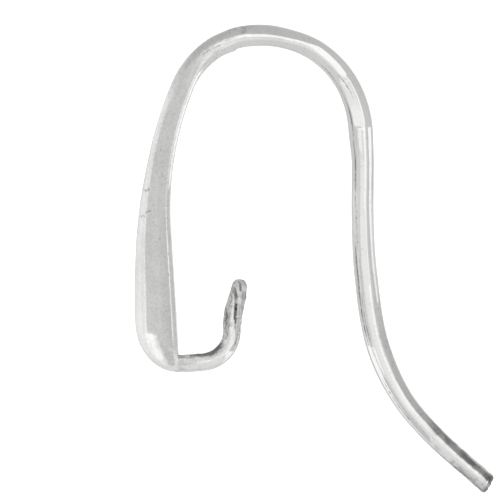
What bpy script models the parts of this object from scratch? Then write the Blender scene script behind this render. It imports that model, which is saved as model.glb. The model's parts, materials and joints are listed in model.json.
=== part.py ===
# Ear wire: a silver hook whose front end carries a half-round drop, flat behind and domed in
# front, with a short open loop behind the drop's foot for a pendant. The drop, the hook and the
# loop are soldered metal, so they are one solid. It lies on its side, as it would by itself.
#
# It is drawn in the hook's plane first, with x from the drop towards the tail, y up the hook
# and the drop's foot at the origin. At the end the whole is laid on the side it rests on.

import math

import bmesh
import bpy
import numpy as np
from mathutils import Matrix, Vector

MM = 0.001

# The wire, 19 gauge, drawn round and pressed a little where it was bent.
WIRE_DIAMETER = 0.92 * MM

# The line of the hook, from the drop's foot over the ear to the tail: straights and arcs that
# run on from one another. A turn is clockwise where it is positive.
FOOT_LEAN = math.radians(-3.4)
BACK_LENGTH = 6.12 * MM
NECK_RADIUS = 14.1 * MM
NECK_TURN = math.radians(24.8)
CROWN_RADIUS = 3.60 * MM
CROWN_TURN = math.radians(78.4)
SHOULDER_RADIUS = 4.38 * MM
SHOULDER_TURN = math.radians(80.5)
SHANK_RADIUS = 80.0 * MM
SHANK_TURN = math.radians(-4.65)
BEND_RADIUS = 9.8 * MM
BEND_TURN = math.radians(-44.5)
TAIL_LENGTH = 2.52 * MM
TAIL_CUT = math.radians(13.0)

# The drop, soldered over the hook's front end. Its back is in line with the wire's inner side,
# and its neck is a little wider than the wire at the sides (cheeks) and in front (crest).
DROP_LENGTH = 15.3 * MM
DROP_WIDTH = 2.94 * MM
DROP_DEPTH = 1.76 * MM
DROP_EDGE_RADIUS = 0.20 * MM
NECK_CHEEK = 0.07 * MM
NECK_CREST = 0.03 * MM
FOOT_ROUND_SIDE = 1.5 * MM
FOOT_ROUND_FRONT = 2.1 * MM
DOME_POWER = 2.0
SOLDER_LIP = 0.05 * MM
SOLDER_LIP_RUN = 0.9 * MM
SOLDER_STEP_RUN = 0.18 * MM

# Where the drop's section turns into the wire's round one, as shares of the drop's length.
SECTION_ROUNDS_FROM = 0.80
SECTION_ROUND_BY = 0.94

# The open loop behind the drop's foot. Its wire thins towards the tip, to a share of its full
# thickness. The tip's flat is a share of that, and the root is how deep the wire is set in the
# drop, as a share of the drop's depth.
LOOP_WIRE = 0.76 * MM
LOOP_GAP = 1.85 * MM
LOOP_LIFT = -0.01 * MM
LOOP_RISE = math.radians(5.0)
LOOP_BEND_RADIUS = 1.35 * MM
LOOP_UPRIGHT = 0.35 * MM
LOOP_LEAN_RADIUS = 2.0 * MM
LOOP_LEAN = math.radians(14.0)
LOOP_TIP_LENGTH = 1.39 * MM
LOOP_TIP_ROUND = 0.34 * MM
LOOP_TIP_THINNED = 0.87
LOOP_TIP_FLAT = 0.55
LOOP_ROOT = 0.28

# How the drop fills out from its neck (0) to its full size (1).
# share of the drop's length above the foot, share of the width, share of the depth
DROP_FILL = (
    (0.00, 1.00, 1.00),
    (0.15, 1.00, 1.00),
    (0.20, 0.95, 0.96),
    (0.28, 0.81, 0.86),
    (0.36, 0.63, 0.72),
    (0.44, 0.46, 0.51),
    (0.52, 0.27, 0.32),
    (0.58, 0.16, 0.21),
    (0.64, 0.10, 0.14),
    (0.72, 0.05, 0.07),
    (0.85, 0.00, 0.02),
    (1.00, 0.00, 0.00),
)

# How the bending has pressed and moved the wire, from the solder to the tail's end.
# share of the bare wire's length, thickness in the hook's plane as a share of the diameter,
# how far the wire lies outside the hook's line as a share of the diameter
WIRE_BENDING = (
    (0.00, 1.01, 0.000),
    (0.05, 1.00, -0.045),
    (0.09, 0.97, -0.038),
    (0.15, 1.01, 0.027),
    (0.20, 1.06, 0.035),
    (0.26, 1.11, 0.000),
    (0.31, 1.14, -0.020),
    (0.37, 1.05, 0.070),
    (0.45, 1.04, 0.013),
    (0.52, 1.05, -0.016),
    (0.61, 1.08, 0.048),
    (0.70, 1.08, -0.013),
    (0.79, 0.98, -0.040),
    (0.86, 0.95, 0.000),
    (0.93, 0.93, -0.020),
    (1.00, 0.93, 0.000),
)

# How fine the solid's facets are.
SIDES = 24
LOOP_SIDES = 16
FOOT_RINGS = 9
RING_STEP = 0.42 * MM
LOOP_RING_STEP = 0.22 * MM
LOOP_END_RINGS = 4

SILVER = (0.80, 0.79, 0.775, 1.0)


def clear_scene():
    for leftover in list(bpy.data.objects):
        bpy.data.objects.remove(leftover)


def smooth_column(rows, column, at):
    """A column of a table, read at any place of its first column along a smooth curve
    that stays level where the table does."""
    table = np.array(rows)
    place, value = table[:, 0], table[:, column]
    slope = np.diff(value) / np.diff(place)
    tangent = np.zeros(len(value))
    level = slope[:-1] * slope[1:] <= 0
    harmonic = 2 * slope[:-1] * slope[1:] / np.where(level, 1, slope[:-1] + slope[1:])
    tangent[1:-1] = np.where(level, 0, harmonic)
    row = np.clip(np.searchsorted(place, at) - 1, 0, len(slope) - 1)
    span = place[row + 1] - place[row]
    t = np.clip((at - place[row]) / span, 0, 1)
    return (
        value[row] * (1 + 2 * t) * (1 - t) ** 2
        + value[row + 1] * t**2 * (3 - 2 * t)
        + span * t * (1 - t) * (tangent[row] * (1 - t) - tangent[row + 1] * t)
    )


def ramp(start, end, at):
    """0 before start and 1 after end, with a smooth climb between them."""
    t = np.clip((at - start) / (end - start), 0, 1)
    return t * t * (3 - 2 * t)


def run_on(start, heading, turn, run):
    """Where a run that turns evenly by so much ends, and its heading there."""
    middle = heading + turn / 2
    chord = run * np.sinc(turn / 2 / math.pi)
    ahead = np.stack([np.sin(middle), np.cos(middle)], -1)
    return start + chord[..., None] * ahead, heading + turn


def follow(stretches, start, heading, at):
    """Points and headings at the given lengths along a chain of (length, turn) stretches.
    A heading is the angle from +y, clockwise."""
    joints = [(np.array(start), heading)]
    for length, turn in stretches:
        joints.append(run_on(*joints[-1], turn, np.array(length)))
    lengths, turns = np.array(stretches).T
    begun = np.cumsum(lengths) - lengths
    stretch = np.clip(np.searchsorted(begun, at, side="right") - 1, 0, len(begun) - 1)
    origins = np.array([joint[0] for joint in joints])[stretch]
    ways = np.array([joint[1] for joint in joints])[stretch]
    run = at - begun[stretch]
    return run_on(origins, ways, turns[stretch] * run / lengths[stretch], run)


def arc(radius, turn):
    """An arc of the chain as (length, turn)."""
    return radius * abs(turn), turn


def hook_line():
    """The straights and arcs of the hook, as (length, turn)."""
    return (
        (BACK_LENGTH, 0.0),
        arc(NECK_RADIUS, NECK_TURN),
        arc(CROWN_RADIUS, CROWN_TURN),
        arc(SHOULDER_RADIUS, SHOULDER_TURN),
        arc(SHANK_RADIUS, SHANK_TURN),
        arc(BEND_RADIUS, BEND_TURN),
        (TAIL_LENGTH, 0.0),
    )


def hook_stations(whole):
    """Where the rings of the hook lie, as lengths from the drop's foot. The foot itself is a
    point, and its rings close up towards it as they do on a ball."""
    angle = np.linspace(0, math.pi / 2, FOOT_RINGS + 1)[1:]
    foot = FOOT_ROUND_FRONT * (1 - np.cos(angle))
    drop_end = DROP_LENGTH - SOLDER_STEP_RUN
    on_drop = np.linspace(foot[-1], drop_end, round((drop_end - foot[-1]) / RING_STEP) + 1)
    on_wire = np.linspace(DROP_LENGTH, whole, round((whole - DROP_LENGTH) / RING_STEP) + 1)
    return np.concatenate([foot, on_drop[1:], on_wire])


def round_share(at, height):
    """How far a rounded end has opened, 0 at its point and 1 at its height: an ellipse."""
    t = np.clip(at / height, 0, 1)
    return np.sqrt(1 - (1 - t) ** 2)


def hook_sizes(at, whole):
    """Half width, front and back of the section at each station, and how far it is a drop's
    section (1) and not a wire's (0). Front and back are measured from the hook's line."""
    height = at / DROP_LENGTH
    lip_share = ramp(DROP_LENGTH - SOLDER_LIP_RUN, DROP_LENGTH, at)
    neck_width = WIRE_DIAMETER + 2 * NECK_CHEEK * (1 - lip_share)
    neck_depth = WIRE_DIAMETER + NECK_CREST
    width = neck_width + (DROP_WIDTH - neck_width) * smooth_column(DROP_FILL, 1, height)
    depth = neck_depth + (DROP_DEPTH - neck_depth) * smooth_column(DROP_FILL, 2, height)
    drop_shape = 1 - ramp(SECTION_ROUNDS_FROM, SECTION_ROUND_BY, height)
    width = width * round_share(at, FOOT_ROUND_SIDE)
    depth = depth * round_share(at, FOOT_ROUND_FRONT)
    back = WIRE_DIAMETER / 2 + SOLDER_LIP * lip_share
    front = depth - WIRE_DIAMETER / 2

    wire_share = (at - DROP_LENGTH) / (whole - DROP_LENGTH)
    press = smooth_column(WIRE_BENDING, 1, wire_share)
    outwards = WIRE_DIAMETER * smooth_column(WIRE_BENDING, 2, wire_share)
    bare = ramp(DROP_LENGTH - SOLDER_STEP_RUN, DROP_LENGTH, at)
    half_width = width / 2 * (1 - bare) + WIRE_DIAMETER / 2 / press * bare
    front = front * (1 - bare) + (WIRE_DIAMETER / 2 * press + outwards) * bare
    back = back * (1 - bare) + (WIRE_DIAMETER / 2 * press - outwards) * bare
    return half_width, front, back, drop_shape * (1 - bare)


def round_section(half_width, front, back, angle):
    """An oval through the four sizes: (sideways, forward) of each point round it."""
    sideways = half_width[:, None] * np.sin(angle)
    forward = (front - back)[:, None] / 2 - (front + back)[:, None] / 2 * np.cos(angle)
    return sideways, forward


def drop_section(half_width, front, back, angle):
    """Flat behind, with rounded edges, and domed in front. The points run round as the
    oval's do, so that one section turns into the other along the neck."""
    depth = front + back
    edge = np.minimum(DROP_EDGE_RADIUS, np.minimum(0.45 * depth, 0.45 * half_width))
    flat = half_width - edge
    turn = np.abs(angle)
    corner = turn[0]
    side = math.pi / 2
    on_edge = np.clip((turn - corner) / (side - corner), 0, 1) * side
    on_dome = np.clip(turn - side, 0, side)
    dome = np.abs(np.cos(on_dome)) ** (2 / DOME_POWER), np.abs(np.sin(on_dome)) ** (2 / DOME_POWER)
    behind = turn <= side
    sideways = np.where(
        behind,
        flat[:, None] + edge[:, None] * np.sin(on_edge),
        half_width[:, None] * dome[0],
    )
    forward = np.where(
        behind,
        (edge - back)[:, None] - edge[:, None] * np.cos(on_edge),
        (edge - back)[:, None] + (depth - edge)[:, None] * dome[1],
    )
    return sideways * np.sign(angle), forward


def sweep_points(points, headings, sideways, forward, slant=None):
    """Rings of points across a line in the hook's plane. Forward is to the line's left, the
    outside of the hook, and sideways is along z. A slant slides points along the line."""
    along = np.stack([np.sin(headings), np.cos(headings)], 1)
    outside = np.stack([-np.cos(headings), np.sin(headings)], 1)
    rings = np.zeros(sideways.shape + (3,))
    rings[..., :2] = points[:, None] + outside[:, None] * forward[..., None]
    if slant is not None:
        rings[..., :2] += along[:, None] * slant[..., None]
    rings[..., 2] = sideways
    return rings


def skin(name, rings, foot_point=None):
    """A closed mesh over the rings, ending at a point or in a flat face."""
    built = bmesh.new()
    verts = [[built.verts.new(point) for point in ring] for ring in rings.tolist()]
    sides = len(verts[0])
    for lower, upper in zip(verts, verts[1:]):
        for i in range(sides):
            j = (i + 1) % sides
            built.faces.new((lower[i], lower[j], upper[j], upper[i]))
    if foot_point is None:
        built.faces.new(verts[0][::-1])
    else:
        pole = built.verts.new(foot_point)
        for i in range(sides):
            built.faces.new((pole, verts[0][(i + 1) % sides], verts[0][i]))
    built.faces.new(verts[-1])
    bmesh.ops.recalc_face_normals(built, faces=built.faces)
    mesh = bpy.data.meshes.new(name)
    built.to_mesh(mesh)
    built.free()
    shaped = bpy.data.objects.new(name, mesh)
    bpy.context.scene.collection.objects.link(shaped)
    return shaped


def make_hook():
    """The drop, its neck and the wire over the ear, in one sweep."""
    stretches = hook_line()
    whole = sum(length for length, turn in stretches)
    at = hook_stations(whole)
    points, headings = follow(stretches, (0, 0), FOOT_LEAN, at)
    half_width, front, back, drop_shape = hook_sizes(at, whole)
    # the angles run round from one side of the back's middle to the other
    angle = (np.arange(SIDES) + 0.5) * 2 * math.pi / SIDES
    angle = np.where(angle > math.pi, angle - 2 * math.pi, angle)
    oval = round_section(half_width, front, back, angle)
    drop = drop_section(half_width, front, back, angle)
    share = drop_shape[:, None]
    sideways = oval[0] * (1 - share) + drop[0] * share
    forward = oval[1] * (1 - share) + drop[1] * share
    slant = np.zeros_like(forward)
    slant[-1] = -forward[-1] * math.tan(TAIL_CUT)
    rings = sweep_points(points, headings, sideways, forward, slant)
    behind_foot = WIRE_DIAMETER / 2 * np.array([math.cos(FOOT_LEAN), -math.sin(FOOT_LEAN)])
    return skin("ear_wire", rings, foot_point=(behind_foot[0], behind_foot[1], 0))


def make_loop():
    """The loop's wire: out of the drop's back at the foot, round the bend and up to its tip."""
    root = LOOP_ROOT * DROP_DEPTH
    run = LOOP_GAP + LOOP_WIRE / 2 - LOOP_BEND_RADIUS * (1 - math.sin(LOOP_RISE))
    quarter = math.pi / 2
    stretches = (
        (root + run, -LOOP_RISE),
        arc(LOOP_BEND_RADIUS, LOOP_RISE - quarter),
        (LOOP_UPRIGHT, 0.0),
        arc(LOOP_LEAN_RADIUS, LOOP_LEAN),
        (LOOP_TIP_LENGTH, 0.0),
    )
    whole = sum(length for length, turn in stretches)
    opening = np.linspace(0, math.pi / 2, LOOP_END_RINGS + 1)[1:]
    set_in = root * (1 - np.cos(opening))
    tip = whole - LOOP_TIP_ROUND * (1 - np.cos(opening[::-1]))
    between = np.linspace(root, tip[0], round((tip[0] - root) / LOOP_RING_STEP) + 1)
    at = np.concatenate([set_in, between[1:], tip[1:], [whole]])
    tip_share = LOOP_TIP_FLAT + (1 - LOOP_TIP_FLAT) * round_share(whole - at, LOOP_TIP_ROUND)
    thinned = 1 - (1 - LOOP_TIP_THINNED) * ramp(whole - LOOP_TIP_LENGTH, whole - LOOP_TIP_ROUND, at)
    radius = LOOP_WIRE / 2 * round_share(at, root) * tip_share * thinned
    start = (WIRE_DIAMETER / 2 - root, LOOP_WIRE / 2 + LOOP_LIFT)
    points, headings = follow(stretches, start, quarter, at)
    angle = np.arange(LOOP_SIDES) * 2 * math.pi / LOOP_SIDES
    sideways, forward = round_section(radius, radius, radius, angle)
    return skin("loop_form", sweep_points(points, headings, sideways, forward), (*start, 0))


def solder(carrier, joined):
    """Makes the joined shape part of the carrier's solid."""
    joined.parent = carrier
    joined.hide_render = True
    joined.display_type = "WIRE"
    union = carrier.modifiers.new("solder", "BOOLEAN")
    union.operation = "UNION"
    union.solver = "EXACT"
    union.object = joined


def solid_mesh(shaped):
    """The finished mesh in the object's own frame, modifiers included."""
    graph = bpy.context.evaluated_depsgraph_get()
    return bpy.data.meshes.new_from_object(shaped.evaluated_get(graph))


def centre_of_mass(mesh):
    """The centroid of a closed mesh, from the cones of its triangles to the origin."""
    mesh.calc_loop_triangles()
    corners = np.array([[mesh.vertices[i].co for i in t.vertices] for t in mesh.loop_triangles])
    cones = np.linalg.det(corners)
    return (corners.sum(1) * cones[:, None]).sum(0) / 4 / cones.sum()


def resting_normal(mesh):
    """The outward normal of the hull's face that the part lies on: the face below its centre
    of mass, of those on the side that faces away from +z."""
    hull = bmesh.new()
    hull.from_mesh(mesh)
    made = bmesh.ops.convex_hull(hull, input=hull.verts)
    faces = [item for item in made["geom"] if isinstance(item, bmesh.types.BMFace)]
    centre = Vector(centre_of_mass(mesh))
    under = None
    for face in faces:
        normal = face.normal.copy()
        if normal.dot(face.verts[0].co - centre) < 0:
            normal.negate()
        foot = centre + normal * normal.dot(face.verts[0].co - centre)
        corners = [vert.co for vert in face.verts]
        edges = zip(corners, corners[1:] + corners[:1])
        sides = [(b - a).cross(foot - a).dot(normal) for a, b in edges]
        holds = min(sides) >= 0 or max(sides) <= 0
        if holds and (under is None or normal.z < under.z):
            under = normal
    hull.free()
    return under


def lay_down(shaped):
    """Turns the part onto its side and puts its box's bottom centre at the origin."""
    mesh = solid_mesh(shaped)
    turn = resting_normal(mesh).rotation_difference(Vector((0, 0, -1))).to_matrix()
    placed = np.array([turn @ vert.co for vert in mesh.vertices])
    low, high = placed.min(0), placed.max(0)
    middle = Vector((*(low + high)[:2] / 2, low[2]))
    shaped.matrix_world = Matrix.Translation(-middle) @ turn.to_4x4()
    bpy.data.meshes.remove(mesh)


def finish_surface(shaped):
    """Polished silver, smooth but for the edges of the cuts."""
    silver = bpy.data.materials.new("silver")
    silver.use_nodes = True
    shader = silver.node_tree.nodes["Principled BSDF"]
    shader.inputs["Base Color"].default_value = SILVER
    shader.inputs["Metallic"].default_value = 1.0
    shader.inputs["Roughness"].default_value = 0.22
    shaped.data.materials.append(silver)
    shaped.data.shade_smooth()
    shaped.data.set_sharp_from_angle(angle=math.radians(40))


def main():
    clear_scene()
    hook = make_hook()
    loop = make_loop()
    solder(hook, loop)
    bpy.context.view_layer.update()
    finish_surface(hook)
    lay_down(hook)
    bpy.context.view_layer.update()


main()
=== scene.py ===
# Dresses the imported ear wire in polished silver: the drop with its neck, the wire over the ear
# and the pendant loop as fine surfaces where the solid is, with the marks of solder, file and
# pliers. Shapes are worked out in the hook's plane, in millimetres: x from the drop to the
# tail, y up the hook, z towards the viewer, the drop's foot at the origin.

import json
import math

import bpy
import numpy as np
from mathutils import Matrix, Vector


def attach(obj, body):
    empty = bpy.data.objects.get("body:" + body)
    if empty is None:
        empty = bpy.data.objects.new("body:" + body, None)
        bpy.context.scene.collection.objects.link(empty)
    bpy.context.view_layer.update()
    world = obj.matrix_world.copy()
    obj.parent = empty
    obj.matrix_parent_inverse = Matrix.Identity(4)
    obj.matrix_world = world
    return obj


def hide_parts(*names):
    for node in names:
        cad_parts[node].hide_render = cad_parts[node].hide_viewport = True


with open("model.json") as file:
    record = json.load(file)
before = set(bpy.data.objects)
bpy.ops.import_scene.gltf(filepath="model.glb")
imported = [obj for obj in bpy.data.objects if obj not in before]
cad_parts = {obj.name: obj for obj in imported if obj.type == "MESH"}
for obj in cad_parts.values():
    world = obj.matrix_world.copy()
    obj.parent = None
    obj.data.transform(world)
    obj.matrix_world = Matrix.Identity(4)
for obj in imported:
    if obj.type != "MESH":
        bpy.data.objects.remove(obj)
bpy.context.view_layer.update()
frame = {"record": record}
print("frame loaded")

millimetre = 0.001
rightAngle = math.pi / 2


def newObject(name, data):
    made = bpy.data.objects.new(name, data)
    bpy.context.scene.collection.objects.link(made)
    return made


def newPiece(name, points, faces, material):
    mesh = bpy.data.meshes.new(name)
    mesh.from_pydata(points, [], faces)
    mesh.materials.append(material)
    return newObject(name, mesh)


def setMark(mesh, name, values):
    # a number for each point, which the materials read
    attribute = mesh.attributes.new(name, "FLOAT", "POINT")
    attribute.data.foreach_set("value", values.astype(np.float32))


def ease(low, high, at):
    # smoothstep: 3t^2 - 2t^3, with t running from 0 at low to 1 at high
    t = np.clip((at - low) / (high - low), 0, 1)
    return t * t * (3 - 2 * t)


def readTable(table, column, at):
    # monotone cubic through the column's values: level where the table is level
    place, value = np.array(table["at"]), np.array(table[column])
    slope = np.diff(value) / np.diff(place)
    turning = slope[:-1] * slope[1:] <= 0
    total = np.where(turning, 1, slope[:-1] + slope[1:])
    tangent = np.zeros(len(value))
    tangent[1:-1] = np.where(turning, 0, 2 * slope[:-1] * slope[1:] / total)
    row = np.clip(np.searchsorted(place, at) - 1, 0, len(slope) - 1)
    span = place[row + 1] - place[row]
    t = np.clip((at - place[row]) / span, 0, 1)
    return (
        value[row] * (1 + 2 * t) * (1 - t) ** 2
        + value[row + 1] * t**2 * (3 - 2 * t)
        + span * t * (1 - t) * (tangent[row] * (1 - t) - tangent[row + 1] * t)
    )


def arc(radius, degrees):
    # an arc as (length, turn): length = radius * angle
    return radius * abs(math.radians(degrees)), math.radians(degrees)


def runOn(start, heading, turn, run):
    # an even turn: the chord is run * sin(turn/2) / (turn/2), along the middle heading
    middle = heading + turn / 2
    chord = run * np.sinc(turn / 2 / math.pi)
    return start + chord[..., None] * np.stack([np.sin(middle), np.cos(middle)], -1), heading + turn


def followLine(stretches, start, heading, at):
    # points and headings at the lengths in at along a chain of (length, turn) stretches
    joints = [(np.array(start, float), heading)]
    for length, turn in stretches:
        joints.append(runOn(*joints[-1], turn, np.array(length)))
    lengths, turns = np.array(stretches).T
    begun = np.cumsum(lengths) - lengths
    part = np.clip(np.searchsorted(begun, at, side="right") - 1, 0, len(begun) - 1)
    origins = np.array([joint[0] for joint in joints])[part]
    ways = np.array([joint[1] for joint in joints])[part]
    run = at - begun[part]
    return runOn(origins, ways, turns[part] * run / lengths[part], run)


def latticeNoise(points, grain, seed):
    # value noise: random heights on a cubic lattice of this grain, eased between its corners
    cell = np.floor(points / grain).astype(np.int64)
    share = points / grain - cell
    share = share * share * (3 - 2 * share)
    total = np.zeros(points.shape[:-1])
    for corner in np.ndindex(2, 2, 2):
        at = cell + corner
        mixed = at[..., 0] * 73856093 ^ at[..., 1] * 19349663 ^ at[..., 2] * 83492791
        mixed = (mixed ^ seed * 2654435761) & 0xFFFFFFFF
        mixed = (mixed ^ mixed >> 15) * 2246822519 & 0xFFFFFFFF
        mixed = (mixed ^ mixed >> 13) * 3266489917 & 0xFFFFFFFF
        height = (mixed ^ mixed >> 16) / 0xFFFFFFFF * 2 - 1
        total += height * np.prod(np.where(corner, share, 1 - share), -1)
    return total


def roughness(points, seed):
    # grains of 0.2 and 0.08 mm, one over the other
    return latticeNoise(points, 0.2, seed) + 0.6 * latticeNoise(points, 0.08, seed + 1)


def streaks(at, sideways, forward, seed):
    # the same, drawn out seven times along the piece
    run = np.broadcast_to(0.15 * at[:, None], sideways.shape)
    return roughness(np.stack([run, sideways, forward], -1), seed)


def outward(rings):
    # unit normals of a closed grid: the cross product of its steps along and round
    along = np.gradient(rings, axis=0)
    around = np.roll(rings, -1, 1) - np.roll(rings, 1, 1)
    normal = np.cross(along, around)
    return normal / np.maximum(np.linalg.norm(normal, axis=-1, keepdims=True), 1e-9)


def sweep(points, headings, sideways, forward, slant=0):
    # ring points = the line's point + forward * outside of the hook + slant * ahead, z = sideways
    ahead = np.stack([np.sin(headings), np.cos(headings)], 1)[:, None]
    outside = np.stack([-np.cos(headings), np.sin(headings)], 1)[:, None]
    flat = points[:, None] + outside * forward[..., None] + ahead * (forward * slant)[..., None]
    return np.concatenate([flat, sideways[..., None]], -1)


def roundShare(at, height):
    # a rounded end, 0 at its point and 1 at its height: sqrt(1 - (1 - t)^2)
    t = np.clip(at / height, 0, 1)
    return np.sqrt(1 - (1 - t) ** 2)


def grooves(rings, normal, paths):
    # grooves on the viewer's side: depth * exp(-(d/width)^2), d the way to the path in the plane
    sunk = np.zeros(rings.shape[:2])
    viewed = ease(-0.1, 0.25, normal[..., 2])
    for places, width, depth in zip(*paths.values()):
        places = np.array(places)
        nearest = np.full(rings.shape[:2], 1e9)
        for start, end in zip(places, places[1:]):
            way = end - start
            share = np.clip((rings[..., :2] - start) @ way / (way @ way), 0, 1)
            gap = rings[..., :2] - start - share[..., None] * way
            nearest = np.minimum(nearest, np.linalg.norm(gap, axis=-1))
        sunk = np.maximum(sunk, depth * viewed * np.exp(-((nearest / width) ** 2)))
    return sunk


def pitField(rings, count, reaches, depth, seed):
    # round pits of depth * (1 - d^2/r^2)^2 at random points of the surface
    draw = np.random.default_rng(seed)
    flat = rings.reshape(-1, 3)
    centres = flat[draw.integers(0, len(flat), count)]
    sunk = np.zeros(len(flat))
    for centre, reach in zip(centres, draw.uniform(*reaches, count)):
        gap = np.sum((flat - centre) ** 2, 1) / reach**2
        sunk = np.maximum(sunk, depth * np.clip(1 - gap, 0, 1) ** 2)
    return sunk.reshape(rings.shape[:2])


# The line of the hook, straights and arcs that run on from one another: lengths in millimetres,
# and arcs as (radius, degrees), clockwise where positive.
hookLine = {
    "footLean": -3.4,
    "backLength": 6.12,
    "neck": (14.1, 24.8),
    "crown": (3.6, 78.4),
    "shoulder": (4.38, 80.5),
    "shank": (80.0, -4.65),
    "bend": (9.8, -44.5),
    "tailLength": 2.52,
}


def hookStretches():
    arcs = [arc(*hookLine[name]) for name in ("neck", "crown", "shoulder", "shank", "bend")]
    return [(hookLine["backLength"], 0.0), *arcs, (hookLine["tailLength"], 0.0)]


hookLength = sum(length for length, turn in hookStretches())


def onHook(at):
    return followLine(hookStretches(), (0, 0), math.radians(hookLine["footLean"]), at)


def hookPlane(record):
    # the plane's axes in the row frame: y against the ear seat's axis, and x square to it, as
    # near the drop back's axis as it can be
    mounts = {mount["name"]: mount for mount in record["mounts"]}
    seat, back = mounts["ear_seat"], mounts["drop_back"]
    up = -np.array(seat["axis"])
    up /= np.linalg.norm(up)
    out = np.cross(back["axis"], up)
    out /= np.linalg.norm(out)
    turn = np.column_stack([np.cross(up, out), up, out])
    # the seat is the inner side of the wire at the crown's top, where the heading is level
    neck = hookLine["backLength"] + arc(*hookLine["neck"])[0]
    climb = 90 - hookLine["footLean"] - hookLine["neck"][1]
    top = np.array([neck + arc(hookLine["crown"][0], climb)[0]])
    seatPoint = np.append(onHook(top)[0][0], 0)
    seatPoint[1] += wireBending("outwards", top)[0] - wireBending("press", top)[0] / 2
    return turn, np.array(seat["pos_m"]) / millimetre - turn @ seatPoint


def inRow(points):
    # from the hook's plane in millimetres to the row frame in metres
    return (np.asarray(points) @ planeTurn.T + planeOrigin) * millimetre


def skin(name, rings, startPole, endPole, along, marks, material):
    # quads between the rings and fans to the poles, facing out. The UV map runs round from 0
    # to 1 and along in millimetres
    count, sides = rings.shape[:2]
    index = np.arange(count * sides).reshape(count, sides)
    following = np.roll(index, -1, 1)
    first, last = count * sides, count * sides + 1
    quads = np.stack([index[:-1], index[1:], following[1:], following[:-1]], -1).reshape(-1, 4)
    fans = np.concatenate([
        np.stack([index[0], following[0], np.full(sides, first)], -1),
        np.stack([following[-1], index[-1], np.full(sides, last)], -1),
    ])
    points = np.concatenate([rings.reshape(-1, 3), [startPole, endPole]])
    faces = quads.tolist() + fans.tolist()
    piece = newPiece(name, inRow(points).tolist(), faces, material)
    mesh = piece.data
    here = np.arange(sides) / sides
    there = here + 1 / sides
    u = np.broadcast_to(np.stack([here, here, there, there], -1), (count - 1, sides, 4))
    low, high = along[:-1, None], along[1:, None]
    v = np.broadcast_to(np.stack([low, high, high, low], -1), (count - 1, sides, 4))
    middle = (here + there) / 2
    fanU = [np.stack([here, there, middle], -1), np.stack([there, here, middle], -1)]
    fanV = np.repeat([along[0], along[-1]], sides * 3)
    uv = np.concatenate([
        np.stack([u.ravel(), v.ravel()], -1),
        np.stack([np.ravel(fanU), fanV], -1),
    ])
    mesh.uv_layers.new(name="roundAndAlong").data.foreach_set("uv", uv.astype(np.float32).ravel())
    for mark, values in marks.items():
        values = np.broadcast_to(values, rings.shape[:2])
        atPoles = [values[0].mean(), values[-1].mean()]
        setMark(mesh, mark, np.concatenate([values.ravel(), atPoles]))
    mesh.shade_smooth()
    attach(piece, "root")
    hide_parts("ear_wire")
    print("made", name, len(mesh.polygons), "faces")


# The drop and its neck. Fill is how it grows from the neck's size to its full size, against the
# share of its length above the foot.
drop = {
    "length": 15.3,
    "width": 2.94,
    "depth": 1.76,
    "edgeRadius": 0.2,
    "domePower": 2.0,
    "roundsFrom": 0.8,
    "roundBy": 0.94,
    "footRoundSide": 1.5,
    "footRoundFront": 2.1,
    "neckCheek": 0.07,
    "neckCrest": 0.03,
    "fill": {
        "at": (0.0, 0.15, 0.2, 0.28, 0.36, 0.44, 0.52, 0.58, 0.64, 0.72, 0.85, 1.0),
        "width": (1.0, 1.0, 0.95, 0.81, 0.63, 0.46, 0.27, 0.16, 0.1, 0.05, 0.0, 0.0),
        "depth": (1.0, 1.0, 0.96, 0.86, 0.72, 0.51, 0.32, 0.21, 0.14, 0.07, 0.02, 0.0),
    },
    "lip": 0.05,
    "lipRun": 0.9,
    "lipRound": 0.1,
    "sinkRun": 0.8,
    "ringStep": 0.045,
    "sides": 200,
    "wave": 0.006,
    "waveGrain": 1.7,
    "pits": 90,
    "pitReaches": (0.03, 0.07),
    "pitDepth": 0.01,
    "solderRun": 2.2,
    "solderDepth": 0.005,
    # how far from the loop's root the solder, the dirt and the painted shade in the crevice end
    "solderRing": (0.4, 0.95),
    "dirtRing": (0.5, 1.0),
    "creviceShadeRing": (0.36, 0.5),
    "grooves": {
        "places": (
            ((1.4, 13.49), (1.84, 13.72), (2.22, 13.9), (2.5, 14.01)),
            ((0.74, 12.98), (0.79, 13.09), (0.92, 13.24)),
            ((-1.04, 7.74), (-0.92, 7.73), (-0.81, 7.72)),
            ((-0.82, 7.82), (-0.79, 7.72)),
            ((-0.93, 6.77), (-0.86, 6.84), (-0.74, 6.86)),
            ((-1.2, 6.63), (-1.1, 6.66), (-1.0, 6.64)),
            ((-0.28, 8.46), (-0.25, 8.36)),
        ),
        "width": (0.03, 0.03, 0.03, 0.035, 0.032, 0.03, 0.03),
        "depth": (0.01, 0.01, 0.02, 0.022, 0.022, 0.018, 0.01),
    },
}


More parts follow.
